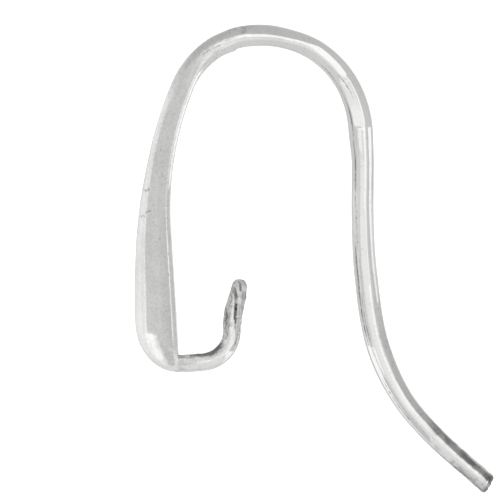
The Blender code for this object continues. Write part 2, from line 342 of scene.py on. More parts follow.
def dropSection(halfWidth, front, back, edge, height):
    # flat behind, with quarter-round edges, and a superellipse dome in front:
    # (side / halfWidth)^p + (forward / depth)^p = 1. Up the neck it turns into an oval
    sides = drop["sides"]
    whole = (np.arange(sides) + 0.5) / sides * 2
    side = np.where(whole < 1, 1, -1)
    roundAt = np.where(whole < 1, whole, 2 - whole)
    flatTo, edgeTo = 0.2, 0.38
    flatPart = np.clip(roundAt / flatTo, 0, 1)
    edgePart = np.clip((roundAt - flatTo) / (edgeTo - flatTo), 0, 1) * rightAngle
    domePart = np.clip((roundAt - edgeTo) / (1 - edgeTo), 0, 1) * rightAngle
    halfWidth, front, back, edge = (size[:, None] for size in (halfWidth, front, back, edge))
    power = 2 / drop["domePower"]
    onDome = roundAt > edgeTo
    flatSide = (halfWidth - edge) * flatPart + edge * np.sin(edgePart)
    sideways = np.where(onDome, halfWidth * np.cos(domePart) ** power, flatSide)
    domeForward = edge - back + (front + back - edge) * np.sin(domePart) ** power
    forward = np.where(onDome, domeForward, edge - back - edge * np.cos(edgePart))
    ovalSide = halfWidth * np.sin(roundAt * math.pi)
    ovalForward = (front - back) / 2 - (front + back) / 2 * np.cos(roundAt * math.pi)
    oval = ease(drop["roundsFrom"], drop["roundBy"], height)[:, None]
    return (sideways + (ovalSide - sideways) * oval) * side, forward + (ovalForward - forward) * oval


def makeDrop(material):
    # from the rounded foot to the neck's end, where the section closes in over the wire
    length, diameter = drop["length"], wire["diameter"]
    lipFrom = length - drop["lipRound"]
    opening = np.linspace(0, rightAngle, 40)[1:]
    foot = drop["footRoundFront"] * (1 - np.cos(opening))
    rest = round((lipFrom - foot[-1]) / drop["ringStep"])
    body = np.linspace(foot[-1], lipFrom, rest + 1)[1:]
    closing = np.linspace(0, rightAngle, 10)[1:]
    lipAt = lipFrom + drop["lipRound"] * np.sin(closing)
    at = np.concatenate([foot, body, lipAt, [length]])
    proud = np.concatenate([np.ones(len(foot) + len(body)), np.cos(closing), [0]])
    height = at / length

    lipShare = ease(length - drop["lipRun"], length, at)
    neckWidth = diameter + 2 * drop["neckCheek"] * (1 - 0.8 * lipShare)
    neckDepth = diameter + drop["neckCrest"] * (1 - 0.8 * lipShare)
    width = neckWidth + (drop["width"] - neckWidth) * readTable(drop["fill"], "width", height)
    depth = neckDepth + (drop["depth"] - neckDepth) * readTable(drop["fill"], "depth", height)
    halfWidth = width / 2 * roundShare(at, drop["footRoundSide"])
    depth = depth * roundShare(at, drop["footRoundFront"])
    back = diameter / 2 + drop["lip"] * lipShare
    front = depth - diameter / 2
    inside = 0.97 * diameter / 2
    sinking = ease(length - drop["sinkRun"], lipFrom, at)
    halfWidth, front = (size + (inside - size) * sinking for size in (halfWidth, front))
    back = inside + (back - inside) * proud
    halfWidth[-1], back[-1], front[-1] = (0.6 * inside,) * 3
    edge = np.minimum(drop["edgeRadius"], np.minimum(0.45 * (front + back), 0.45 * halfWidth))
    sideways, forward = dropSection(halfWidth, front, back, edge, height)

    points, headings = onHook(at)
    rings = sweep(points, headings, sideways, forward)
    normal = outward(rings)
    # waves, solder at the neck's end and round the loop, ticks and pits
    neckSolder = ease(length - drop["solderRun"], length - 0.6 * drop["solderRun"], at)[:, None]
    loopGap = np.linalg.norm(rings - (diameter / 2, loop["wire"] / 2 + loop["lift"], 0), axis=-1)
    solder = np.maximum(neckSolder, 1 - ease(*drop["solderRing"], loopGap))
    rise = drop["wave"] * latticeNoise(rings, drop["waveGrain"], 3)
    rise += solder * drop["solderDepth"] * streaks(at, sideways, forward, 5)
    sunk = grooves(rings, normal, drop["grooves"]) * (1 + 0.6 * latticeNoise(rings, 0.07, 8))
    sunk = sunk + pitField(rings, drop["pits"], drop["pitReaches"], drop["pitDepth"], 11)
    ends = roundShare(at, 0.5)[:, None] * (1 - ease(length - 0.02, length, at))[:, None]
    rings = rings + normal * ((rise - sunk) * ends)[..., None]
    lean = math.radians(hookLine["footLean"])
    footPole = (diameter / 2 * math.cos(lean), -diameter / 2 * math.sin(lean), 0)
    # painted shade: darker in the crevice round the loop's root and on the rim at the neck's end,
    # where the drop meets the wire
    creviceShade = 1 - ease(*drop["creviceShadeRing"], loopGap)
    rimShade = ease(length - 0.12, length, at)[:, None]
    # tarnish in the grooves and pits, with the painted shade of the crevice and the rim
    stainAndShade = np.clip(sunk / 0.012, 0, 1.4) + 0.6 * creviceShade + 0.35 * rimShade
    dirt = 1 - ease(*drop["dirtRing"], loopGap)
    stainAndShade = stainAndShade + 0.7 * dirt * ease(-0.6, 0.4, roughness(rings, 9))
    marks = {"solder": solder, "stainAndShade": np.clip(stainAndShade, 0, 2)}
    skin("drop", rings, footPole, rings[-1].mean(0), at, marks, material)


# The wire over the ear. Bending is what the pliers did to it, against the share of the bare
# wire's length: its thickness in the hook's plane, how far it lies outside the hook's line, and
# how far the ridge nearest the viewer is pushed outwards, all as shares of the diameter.
wire = {
    "diameter": 0.92,
    "bending": {
        "at": (0, 0.05, 0.09, 0.15, 0.2, 0.26, 0.31, 0.37, 0.45, 0.52, 0.61, 0.7, 0.79, 0.86, 0.93, 1),
        "press": (1.01, 1.0, 0.97, 1.01, 1.06, 1.11, 1.14, 1.05, 1.04, 1.05, 1.08, 1.08, 0.98, 0.95,
                  0.93, 0.93),
        "outwards": (0, -0.045, -0.038, 0.027, 0.035, 0, -0.02, 0.07, 0.013, -0.016, 0.048, -0.013,
                     -0.04, 0, -0.02, 0),
        "lean": (-0.1, -0.16, -0.12, 0.1, 0.04, -0.02, 0, 0, 0, 0, 0, 0, 0, 0, 0, 0),
    },
    # the pliers' flats: places along the line, degrees that each faces from the viewer
    # towards the outside, and depths
    "flats": {
        "from": (20.4, 18.6, 26.2),
        "to": (22.93, 20.6, 29.6),
        "facing": (-6.0, 6.0, 1.0),
        "depth": (0.04, 0.012, 0.014),
    },
    # how long the flats' ends are, and how far they run ahead across the wire
    "flatEnds": (0.5, 0.09),
    "flatSkew": 0.14,
    # lines scored along the viewer's side: places along the line, and across it at both ends
    # as shares of the half thickness, outwards positive
    "scores": {
        "from": (20.4, 19.0, 21.4, 23.2, 26.0, 27.4, 29.4, 29.8, 33.5),
        "to": (21.6, 21.7, 23.3, 26.4, 28.2, 29.8, 32.2, 32.6, 35.6),
        "startsAt": (-0.27, -0.75, -0.74, -0.68, -0.6, -0.74, -0.76, -0.58, -0.72),
        "endsAt": (-0.08, -0.76, -0.63, -0.67, -0.56, -0.72, -0.74, -0.54, -0.66),
        "width": (0.03, 0.022, 0.024, 0.022, 0.05, 0.026, 0.024, 0.02, 0.02),
        "depth": (0.012, 0.01, 0.026, 0.018, 0.01, 0.022, 0.02, 0.014, 0.012),
    },
    # where along the line tarnish sets in: faint and heavy outside, inside, and at the end
    "tarnish": {"faint": (28, 33), "heavy": (34, 38.5), "inner": (36, 38), "end": (38.9, 39.8)},
    "setIn": 0.5,
    "ringStep": 0.045,
    "sides": 132,
    "wave": 0.005,
    "waveGrain": 1.4,
    "wornEnd": 2.3,
    "wornDepth": 0.012,
    "cutSlant": 13.0,
    "cutRim": 0.17,
    "cutRings": 10,
    "cutDepth": 0.035,
}


def wireBending(column, at):
    share = np.clip((at - drop["length"]) / (hookLength - drop["length"]), 0, 1)
    return wire["diameter"] * readTable(wire["bending"], column, share)


def makeWire(material):
    # an oval section, thickness = diameter * press and width = diameter / press. The tail is
    # cut at a slant, and the cut is closed by shrinking rings
    start = drop["length"] - wire["setIn"]
    body = np.linspace(start, hookLength, round((hookLength - start) / wire["ringStep"]) + 1)
    rim = np.linspace(0, rightAngle, 8)[1:]
    face = np.linspace(1, 0, wire["cutRings"] + 1)[1:-1]
    at = np.concatenate([body, np.full(len(rim) + len(face), hookLength)])
    cut = (np.arange(len(at)) >= len(body))[:, None]
    half = wireBending("press", at) / 2
    sideHalf = (wire["diameter"] / 2) ** 2 / half
    rimShare = 1 - wire["cutRim"] * (1 - np.cos(rim)) / half[-1]
    share = np.concatenate([np.ones(len(body)), rimShare, rimShare[-1] * face])
    ahead = np.concatenate([
        -wire["cutRim"] * ease(hookLength - 0.4, hookLength, body),
        wire["cutRim"] * (np.sin(rim) - 1),
        np.zeros(len(face)),
    ])
    angle = np.arange(wire["sides"]) / wire["sides"] * 2 * math.pi
    across, towards = -np.cos(angle), np.sin(angle)
    lean = (wireBending("lean", at) / wire["diameter"])[:, None]
    forward = (half * share)[:, None] * (across + lean * towards)
    sideways = (sideHalf * share)[:, None] * towards
    rampIn, rampOut = wire["flatEnds"]
    place = at[:, None] - wire["flatSkew"] * across
    for begin, end, facing, depth in zip(*wire["flats"].values()):
        sine, cosine = math.sin(math.radians(facing)), math.cos(math.radians(facing))
        window = ease(begin, begin + rampIn, place) * (1 - ease(end - rampOut, end, place))
        # the oval's reach this way: sqrt((half * sin)^2 + (sideHalf * cos)^2)
        reach = np.hypot(half * sine, sideHalf * cosine)[:, None] - depth * window
        over = np.maximum(forward * sine + sideways * cosine - reach, 0) * (window > 0)
        forward, sideways = forward - over * sine, sideways - over * cosine
    scored = np.zeros(forward.shape)
    for begin, end, startsAt, endsAt, width, depth in zip(*wire["scores"].values()):
        run = np.clip((at - begin) / (end - begin), 0, 1)
        middle = half * (startsAt + (endsAt - startsAt) * run)
        line = np.exp(-(((forward - middle[:, None]) / width) ** 2)) * (towards > 0)
        scored = np.maximum(scored, line * (np.sin(run * math.pi) ** 0.5 * depth)[:, None])
    forward = forward + wireBending("outwards", at)[:, None]
    points, headings = onHook(at)
    slant = -math.tan(math.radians(wire["cutSlant"])) * ease(hookLength - 0.7, hookLength, at)
    rings = sweep(points, headings, sideways, forward, slant[:, None])
    direction = np.stack([np.sin(headings), np.cos(headings), 0 * headings], 1)
    rings = rings + (direction * ahead[:, None])[:, None]
    normal = np.where(cut[..., None], direction[-1], outward(rings))
    worn = ease(hookLength - wire["wornEnd"], hookLength - 0.3, at)[:, None]
    nearSolder = 1 - ease(drop["length"] + 0.3, drop["length"] + 1.3, at)[:, None]
    used = np.maximum(worn, 0.6 * nearSolder)
    rise = wire["wave"] * latticeNoise(rings, wire["waveGrain"], 21)
    rough = roughness(rings, 22)
    drawnOut = streaks(at, sideways, forward, 27) * nearSolder + rough * (1 - nearSolder)
    rise = rise + used * wire["wornDepth"] * drawnOut
    rise = np.where(cut, wire["cutDepth"] * rough, rise)
    scored = scored * (1 + 0.7 * latticeNoise(rings, 0.12, 26))
    rings = rings + normal * (rise - scored)[..., None]
    # the tail's outer side has tarnished most, and its cut end is darker still
    outerSide, innerSide = ease(0.0, 0.5, across), ease(0.2, 0.6, -across)
    grimy = ease(-0.6, 0.6, 0.7 * latticeNoise(rings, 0.35, 24) + rough)
    faint, heavy, inner, end = (ease(*reach, at)[:, None] for reach in wire["tarnish"].values())
    stainAndShade = (0.25 * faint + heavy * (0.45 + 0.65 * grimy)) * outerSide
    stainAndShade = stainAndShade + inner * (0.35 + 0.55 * grimy) * innerSide + 0.3 * end * grimy
    stainAndShade = stainAndShade + 0.7 * nearSolder * grimy * outerSide + scored / 0.012
    marks = {"solder": np.maximum(used, cut), "stainAndShade": np.clip(stainAndShade + 0.5 * cut, 0, 2)}
    skin("wire", rings, rings[0].mean(0), rings[-1].mean(0), at, marks, material)


# The pendant loop of thinner wire, with its inner side filed flat and the cutters' grooves and
# burr at its tip.
loop = {
    "wire": 0.76,
    "gap": 1.85,
    "lift": -0.01,
    "root": 0.28,
    "rise": 5.0,
    "bendRadius": 1.35,
    "upright": 0.35,
    "leanRadius": 2.0,
    "lean": 14.0,
    "tipLength": 1.39,
    "tipThinned": 0.87,
    "tipRound": 0.3,
    "ringStep": 0.02,
    "sides": 150,
    "roughDepth": 0.016,
    # the smooth strip up the rough end's right side
    "stripAt": 2.78,
    "stripReach": 0.11,
    "stripEnds": (2.5, 3.0),
    "filedReach": 0.3,
    "filedTurn": 38.0,
    "filedFrom": 1.34,
    "filedDepth": 0.022,
    "grooves": {
        "places": (
            ((2.76, 3.55), (2.87, 3.21), (2.863, 2.53), (2.85, 2.3)),
            ((2.863, 2.53), (2.85, 2.1)),
            ((2.85, 2.2), (2.84, 1.85)),
            ((3.03, 2.3), (3.02, 1.75)),
            ((2.99, 3.99), (3.05, 3.76), (3.06, 3.52)),
            ((2.62, 3.3), (2.66, 3.12), (2.6, 2.98)),
            ((2.42, 2.7), (2.45, 2.45), (2.4, 2.2)),
        ),
        "width": (0.062, 0.036, 0.028, 0.022, 0.046, 0.04, 0.036),
        "depth": (0.09, 0.05, 0.022, 0.008, 0.07, 0.03, 0.03),
    },
    # bare spots, where the metal was pinched last: place and reach
    "bare": (((3.22, 3.56), 0.12), ((3.06, 2.19), 0.08)),
    # the burr lies outside this line and is this thick
    "burr": {"y": (2.04, 2.57, 3.21, 3.6), "x": (3.03, 3.055, 3.04, 2.98), "thick": 0.04},
}


def loopStretches():
    root = loop["root"] * drop["depth"]
    rise = math.radians(loop["rise"])
    run = loop["gap"] + loop["wire"] / 2 - loop["bendRadius"] * (1 - math.sin(rise))
    return (
        (root + run, -rise),
        arc(loop["bendRadius"], loop["rise"] - 90),
        (loop["upright"], 0.0),
        arc(loop["leanRadius"], loop["lean"]),
        (loop["tipLength"], 0.0),
    )


def makeLoop(material):
    # a round section carried along straights and arcs, thinned towards a rounded tip
    root = loop["root"] * drop["depth"]
    whole = sum(length for length, turn in loopStretches())
    opening = np.linspace(0, rightAngle, 16)[1:]
    tip = whole - loop["tipRound"] * (1 - np.cos(np.linspace(0, rightAngle, 30)[:0:-1]))
    rest = round((tip[0] - root) / loop["ringStep"])
    between = np.linspace(root, tip[0], rest + 1)[1:]
    at = np.concatenate([root * (1 - np.cos(opening)), between, tip[1:]])
    nearTip = ease(whole - loop["tipLength"], whole - loop["tipRound"], at)
    thinned = 1 - (1 - loop["tipThinned"]) * nearTip
    tipShare = roundShare(whole - at, loop["tipRound"])
    radius = loop["wire"] / 2 * roundShare(at, root) * tipShare * thinned
    angle = np.arange(loop["sides"]) / loop["sides"] * 2 * math.pi
    forward = -np.outer(radius, np.cos(angle))
    sideways = np.outer(radius, np.sin(angle))
    start = (wire["diameter"] / 2 - root, loop["wire"] / 2 + loop["lift"])
    points, headings = followLine(loopStretches(), start, rightAngle, at)
    # the file took what stands over a flat that faces inwards and to the viewer
    turned = math.radians(loop["filedTurn"])
    cosine, sine = math.cos(turned), math.sin(turned)
    upTo = whole - 0.55 - at
    fileAt = points[:, 1] - 0.3 * (at < whole / 2)
    filed = ease(loop["filedFrom"] - 0.03, loop["filedFrom"] + 0.03, fileAt) * ease(0, 0.5, upTo)
    reach = loop["wire"] / 2 + (loop["filedReach"] - loop["wire"] / 2) * filed
    over = np.maximum(forward * cosine + sideways * sine - reach[:, None], 0)
    onFile = np.clip(over / 0.02, 0, 1)
    forward, sideways = forward - over * cosine, sideways - over * sine
    rings = sweep(points, headings, sideways, forward)
    normal = outward(rings)
    # the upright is rough but for the strip, and the run smooth but for its top near the solder
    x, y = rings[..., 0], rings[..., 1]
    strip = np.exp(-(((x - loop["stripAt"]) / loop["stripReach"]) ** 2))
    strip = strip * (1 - ease(*loop["stripEnds"], y))
    worn = ease(whole * 0.5, whole * 0.66, at)[:, None] * (1 - 0.9 * strip)
    rough = roughness(rings, 31)
    nearRoot = (1 - ease(1.2, 2.0, at))[:, None] * ease(0.2, 0.7, -np.cos(angle))
    depth = loop["roughDepth"] * (0.05 + 0.95 * worn + 0.45 * nearRoot) + loop["filedDepth"] * onFile
    rise = rough * depth
    sunk = grooves(rings, normal, loop["grooves"]) * (1 + 0.5 * latticeNoise(rings, 0.09, 35))
    sunk = sunk * (1 - ease(whole - 0.3, whole - 0.04, at))[:, None]
    burr = loop["burr"]
    foot, top = burr["y"][0], burr["y"][-1]
    onBurr = ease(-0.012, 0.012, x - np.interp(y, burr["y"], burr["x"]))
    onBurr = onBurr * ease(foot - 0.02, foot + 0.02, y) * (1 - ease(top - 0.4, top, y))
    onBurr = onBurr * ease(-0.4, 0.0, normal[..., 2])
    rise = rise + burr["thick"] * onBurr
    rootEnd, tipEnd = roundShare(at, root)[:, None], ease(0, 0.25, tipShare)[:, None]
    rings = rings + normal * ((rise * tipEnd - sunk) * rootEnd)[..., None]
    outside = np.stack([-np.cos(headings), np.sin(headings)], -1)[:, None]
    # painted shade: the wire is darkened on its flanks in the hook's plane and left light on its
    # crest, by the way its surface faces
    sides = ease(0.45, 0.95, np.abs(np.sum(normal[..., :2] * outside, -1)))
    atTip = ease(whole - 1.1, whole - 0.5, at)[:, None]
    # tarnish where worn and filed, and the painted shade of the flanks
    stainAndShade = 0.05 * worn + 0.15 * onFile * worn + 0.3 * worn * ease(0.0, 0.7, -rough) + 0.22 * sides
    stainAndShade = stainAndShade + np.clip(sunk / 0.035, 0, 1.8) + 1.2 * atTip * (0.7 + 0.45 * rough)
    # painted shade: a dark band along the inner side of the run and the bend, speckled near the solder
    inBend = ease(1.2, 2.4, at)[:, None]
    innerShadeBand = ease(0, 0.45 + 0.5 * inBend, -np.cos(angle) - 0.5 + 0.5 * inBend)
    innerShadeBand = innerShadeBand * (1 - ease(whole * 0.46, whole * 0.54, at))[:, None]
    stainAndShade = stainAndShade + innerShadeBand * (1.6 - 0.3 * inBend + 0.8 * rough * nearRoot)
    bare = np.zeros(stainAndShade.shape)
    for place, reach in loop["bare"]:
        bare = np.maximum(bare, np.exp(-np.sum(((rings[..., :2] - place) / reach) ** 2, -1)))
    stainAndShade = stainAndShade * (1 - bare)
    marks = {"solder": np.maximum(worn, onFile * worn), "stainAndShade": np.clip(stainAndShade, 0, 2)}
    skin("loop", rings, (*start, 0), rings[-1].mean(0), at, marks, material)


# The camera's view: a pixel's size in millimetres, the pixel where the drop's foot stands, and
# the picture's side in pixels.
imageView = {
    "pixelSize": 0.0425,
    "footPixel": (168.74, 372.5),
    "side": 500,
    "lens": 300.0,
}


def placeCamera():
    # square to the hook's plane: distance = lens * width of view / sensor width
    size, side = imageView["pixelSize"], imageView["side"]
    footX, footY = imageView["footPixel"]
    centre = ((side / 2 - footX) * size, (footY - side / 2) * size)
    data = bpy.data.cameras.new("camera")
    data.lens = imageView["lens"]
    away = data.lens * side * size / data.sensor_width
    camera = newObject("camera", data)
    matrix = Matrix(planeTurn.tolist()).to_4x4()
    matrix.translation = Vector(inRow((*centre, away)))
    camera.matrix_world = matrix
    data.clip_start = 0.01
    data.clip_end = 20
    bpy.context.scene.camera = camera
    print("camera placed", round(away), "mm away")
    return centre


def newGroup(name, inputs, outputs):
    # an effect that several materials use, as a node group of its own
    group = bpy.data.node_groups.new(name, "ShaderNodeTree")
    for way, titles in (("INPUT", inputs), ("OUTPUT", outputs)):
        for title in titles:
            group.interface.new_socket(title, in_out=way, socket_type="NodeSocketFloat")
    given, result = group.nodes.new("NodeGroupInput"), group.nodes.new("NodeGroupOutput")
    return group, given.outputs, result.inputs


def newMaterial(name):
    material = bpy.data.materials.new(name)
    material.use_nodes = True
    return material, material.node_tree


def feed(tree, given, socket):
    # a plain number or another node's output into a socket
    if isinstance(given, (int, float)):
        socket.default_value = given
    else:
        tree.links.new(given, socket)


def calculate(tree, operation, *given):
    # one step of arithmetic on sockets or plain numbers
    node = tree.nodes.new("ShaderNodeMath")
    node.operation = operation
    for socket, value in zip(node.inputs, given):
        feed(tree, value, socket)
    return node.outputs[0]


def easedRange(tree, value, low, high):
    # smoothstep from 0 at low to 1 at high
    node = tree.nodes.new("ShaderNodeMapRange")
    node.interpolation_type = "SMOOTHSTEP"
    for title, given in (("Value", value), ("From Min", low), ("From Max", high)):
        feed(tree, given, node.inputs[title])
    return node.outputs["Result"]


def noiseOf(tree, vector, scale, detail):
    node = tree.nodes.new("ShaderNodeTexNoise")
    node.inputs["Roughness"].default_value = 0.6
    for title, given in (("Vector", vector), ("Scale", scale), ("Detail", detail)):
        feed(tree, given, node.inputs[title])
    return node.outputs["Fac"]


def objectPlace(tree):
    return tree.nodes.new("ShaderNodeTexCoord").outputs["Object"]


def plainColour(tree, colour):
    node = tree.nodes.new("ShaderNodeRGB")
    node.outputs[0].default_value = (*colour, 1)
    return node.outputs[0]


def mixed(tree, factor, first, second):
    mix = tree.nodes.new("ShaderNodeMix")
    mix.data_type = "RGBA"
    for title, given in (("Factor", factor), ("A", first), ("B", second)):
        feed(tree, given, mix.inputs[title])
    return mix.outputs["Result"]


def makeClouds():
    # clouds of tarnish, and specks that are thickest inside them. A noise of grain g millimetres
    # has the scale 1000 / g on coordinates in metres
    inputs = ("cloudGrain", "speckGrain", "speckCover")
    group, given, result = newGroup("tarnishClouds", inputs, ("clouds", "specks"))
    place = objectPlace(group)
    coarse, fine = (
        noiseOf(group, place, calculate(group, "DIVIDE", 1000.0, given[title]), detail)
        for title, detail in (("cloudGrain", 5.0), ("speckGrain", 2.0))
    )
    clouds = easedRange(group, coarse, 0.34, 0.68)
    # the level that a speck must pass falls with the cover and inside a cloud
    level = calculate(group, "MULTIPLY_ADD", given["speckCover"], -0.36, 0.72)
    level = calculate(group, "MULTIPLY_ADD", clouds, -0.08, level)
    specks = easedRange(group, fine, level, calculate(group, "ADD", level, 0.09))
    feed(group, clouds, result["clouds"])
    feed(group, specks, result["specks"])
    return group


def makePolishLines():
    # fine lines along the piece: noise over its length and a circle, so that it meets itself
    group, given, result = newGroup("polishLines", ("linesAlong", "linesAcross"), ("lines",))
    uv = group.nodes.new("ShaderNodeUVMap")
    uv.uv_map = "roundAndAlong"
    parts = group.nodes.new("ShaderNodeSeparateXYZ")
    feed(group, uv.outputs["UV"], parts.inputs["Vector"])
    turn = calculate(group, "MULTIPLY", parts.outputs["X"], 2 * math.pi)
    vector = group.nodes.new("ShaderNodeCombineXYZ")
    run = calculate(group, "MULTIPLY", parts.outputs["Y"], given["linesAlong"])
    feed(group, run, vector.inputs["X"])
    for title, operation in (("Y", "COSINE"), ("Z", "SINE")):
        side = calculate(group, operation, turn)
        side = calculate(group, "MULTIPLY", side, given["linesAcross"])
        feed(group, side, vector.inputs[title])
    feed(group, noiseOf(group, vector.outputs["Vector"], 1.0, 4.0), result["lines"])
    return group


def makePitMarks():
    # small round pits: 1 at the middle of a cell, 0 from this share of its size outwards
    group, given, result = newGroup("pitMarks", ("pitCell", "pitShare"), ("pits",))
    cells = group.nodes.new("ShaderNodeTexVoronoi")
    feed(group, objectPlace(group), cells.inputs["Vector"])
    feed(group, calculate(group, "DIVIDE", 1000.0, given["pitCell"]), cells.inputs["Scale"])
    pits = easedRange(group, cells.outputs["Distance"], given["pitShare"], 0.0)
    feed(group, pits, result["pits"])
    return group


def useGroup(tree, group, values):
    node = tree.nodes.new("ShaderNodeGroup")
    node.node_tree = group
    for socket in node.inputs:
        socket.default_value = values[socket.name]
    return node.outputs


def readMark(tree, name):
    node = tree.nodes.new("ShaderNodeAttribute")
    node.attribute_name = name
    return node.outputs["Fac"]


def silverFinish(finish):
    # bright silver under tarnish and painted shade, whose cover comes from clouds, specks, pits and
    # the mark of stains and painted shade times the clouds. Tarnish and painted shade darken and dull
    # it, and lines, pits and grains raise it
    material, tree = newMaterial(finish["name"])
    shader = tree.nodes["Principled BSDF"]
    shader.inputs["Metallic"].default_value = 1

    def timesPlus(value, factor, rest):
        return calculate(tree, "MULTIPLY_ADD", value, factor, rest)

    clouds, specks = useGroup(tree, effects["clouds"], finish)
    lines = useGroup(tree, effects["lines"], finish)["lines"]
    pits = useGroup(tree, effects["pits"], finish)["pits"]
    stainAndShade, solder = readMark(tree, "stainAndShade"), readMark(tree, "solder")
    byCloud, bySpeck, byStainAndShade, byPit = finish["cover"]
    broken = calculate(tree, "MULTIPLY", stainAndShade, timesPlus(clouds, 0.7, 0.5))
    cover = timesPlus(clouds, byCloud, calculate(tree, "MULTIPLY", broken, byStainAndShade))
    cover = timesPlus(specks, timesPlus(stainAndShade, 0.5 * byStainAndShade, bySpeck), cover)
    cover = calculate(tree, "MINIMUM", timesPlus(pits, byPit, cover), 1.0)
    bright, dark = plainColour(tree, brightSilver), plainColour(tree, finish["tarnish"])
    feed(tree, mixed(tree, cover, bright, dark), shader.inputs["Base Color"])
    plain, dulled, lined = finish["roughness"]
    dull = timesPlus(calculate(tree, "MAXIMUM", cover, solder), dulled, plain)
    dull = timesPlus(calculate(tree, "SUBTRACT", lines, 0.5), lined, dull)
    feed(tree, calculate(tree, "MAXIMUM", dull, 0.03), shader.inputs["Roughness"])
    lineDepth, pitDepth, grainDepth = finish["heights"]
    height = timesPlus(pits, -pitDepth, calculate(tree, "MULTIPLY", lines, lineDepth))
    grains = noiseOf(tree, objectPlace(tree), 1000 / finish["grain"], 3.0)
    grains = calculate(tree, "MULTIPLY", grains, grainDepth)
    height = timesPlus(grains, calculate(tree, "ADD", solder, finish["grainAll"]), height)
    bump = tree.nodes.new("ShaderNodeBump")
    bump.inputs["Strength"].default_value = 1
    bump.inputs["Distance"].default_value = 0.001
    feed(tree, height, bump.inputs["Height"])
    feed(tree, bump.outputs["Normal"], shader.inputs["Normal"])
    return material


brightSilver = (0.95, 0.947, 0.94)

# The finishes of the drop, the wire and the loop, a column for each. Tarnish is a dark colour used for
# tarnish and for painted shade, cover is how much of it clouds, specks, stains with painted shade and
# pits bring, roughness is (plain, added by tarnish, painted shade and solder, spread of the lines),
# and heights are (lines, pits, grains) in millimetres. GrainAll is the share of the solder's grains
# that lies everywhere.
finishes = {
    "name": ("castSilver", "drawnSilver", "filedSilver"),
    "tarnish": ((0.52, 0.515, 0.505), (0.34, 0.335, 0.325), (0.2, 0.198, 0.193)),
    "cover": ((0.13, 0.16, 0.6, 0.08), (0.06, 0.1, 0.75, 0.15), (0.06, 0.08, 0.62, 0.08)),
    "roughness": ((0.08, 0.14, 0.06), (0.06, 0.14, 0.06), (0.09, 0.14, 0.06)),
    "heights": ((0.0035, 0.003, 0.006), (0.003, 0.002, 0.006), (0.004, 0.002, 0.007)),
    "cloudGrain": (1.3, 1.1, 0.9),
    "speckGrain": (0.13, 0.13, 0.12),
    "speckCover": (0.55, 0.3, 0.35),
    "linesAlong": (0.35, 0.5, 0.8),
    "linesAcross": (9.0, 8.0, 6.0),
    "pitCell": (0.33, 0.3, 0.25),
    "pitShare": (0.13, 0.1, 0.12),
    "grain": (0.11, 0.12, 0.12),
    "grainAll": (0.14, 0.02, 0.02),
}


def tone(shown):
    # the light that a shown grey of 0 to 255 stands for: the screen's curve undone
    share = np.asarray(shown) / 255
    return np.where(share <= 0.04045, share / 12.92, ((share + 0.055) / 1.055) ** 2.4)


def makeCard(name, low, high, lowShown, highShown, behind=None):
    # a softbox or flag between two rows of points, blended between the greys of its rows or
    # of their ends. Only the silver's mirroring shows it, and it casts no shadow
    count = len(low)
    index = np.arange(count - 1)
    quads = np.stack([index, index + 1, index + 1 + count, index + count], -1)
    points = np.concatenate([low, high]).tolist()
    card = newPiece(name, points, quads.tolist(), cardMaterial)
    ends = (np.broadcast_to(tone(shown), 2) for shown in (lowShown, highShown))
    front = np.concatenate([np.linspace(*pair, count) for pair in ends])
    setMark(card.data, "glow", front)
    setMark(card.data, "glowBehind", front if behind is None else np.full(2 * count, tone(behind)))
    card.visible_camera = card.visible_diffuse = False
    card.visible_shadow = card.visible_transmission = False


def makeCardMaterial():
    material, tree = newMaterial("card")
    tree.nodes.clear()
    geometry = tree.nodes.new("ShaderNodeNewGeometry")
    front, back = readMark(tree, "glow"), readMark(tree, "glowBehind")
    emission = tree.nodes.new("ShaderNodeEmission")
    output = tree.nodes.new("ShaderNodeOutputMaterial")
    feed(tree, mixed(tree, geometry.outputs["Backfacing"], front, back), emission.inputs["Color"])
    feed(tree, emission.outputs["Emission"], output.inputs["Surface"])
    return material


# The softbox far above the wire, in degrees: how far its middle lies to the right of the viewer
# and above, and its size across and up. Shown is the grey at its left and right ends.
topLight = {"at": (13, 12), "size": (42, 36), "distance": 400.0, "shown": (258, 256)}

# The ceiling's light: rings round a point so many degrees from the viewer, and the grey at each.
ceiling = {
    "at": (0, -3),
    "radius": (0.5, 16, 30, 48),
    "distance": 420.0,
    "shown": (232, 230, 222, 204),
}

# Cards that hang level over the wire, with their left and right ends' greys and, where it isn't
# the usual one, their height.
levelHeight = 10.0
levelColumns = ("x", "y", "shown", "height")
levelCards = {
    "overDrop": ((-70, -5), (-5, 9.6), (210, 208)),
    "overFace": ((-5, 0.75), (-5, 9.6), (205, 192)),
    "leftOfNeck": ((-70, -6), (9.6, 13.6), (210, 206)),
    "overNeck": ((-6, 3.2), (9.6, 13.6), (200, 204)),
    "overNeckEnd": ((-4, 2.2), (13.6, 18), (206, 216)),
    "overShank": ((4.3, 11.3), (-0.5, 9.4), (233, 238)),
    "underShoulder": ((4.3, 11.3), (9.4, 9.9), (222, 224)),
    "shoulderLight": ((4.3, 8.2), (9.9, 10.9), (242, 246)),
    "besideShoulder": ((8.2, 11.3), (9.9, 10.9), (223, 224)),
    "underCrown": ((2.6, 4.8), (10.9, 14), (222, 224)),
    "overBend": ((6.5, 14), (-3.8, -0.5), (238, 246)),
    "leftOfCrown": ((-70, -4), (13.6, 26), (206, 204)),
    "behindDrop": ((0.75, 5), (4.4, 9.6), (222, 204), 6),
    "overLoop": ((0.75, 1.2), (0.2, 4.4), 222, 6),
    "bendTop": ((3.4, 5.9), (-2.2, -0.2), (248, 258), 5.4),
}

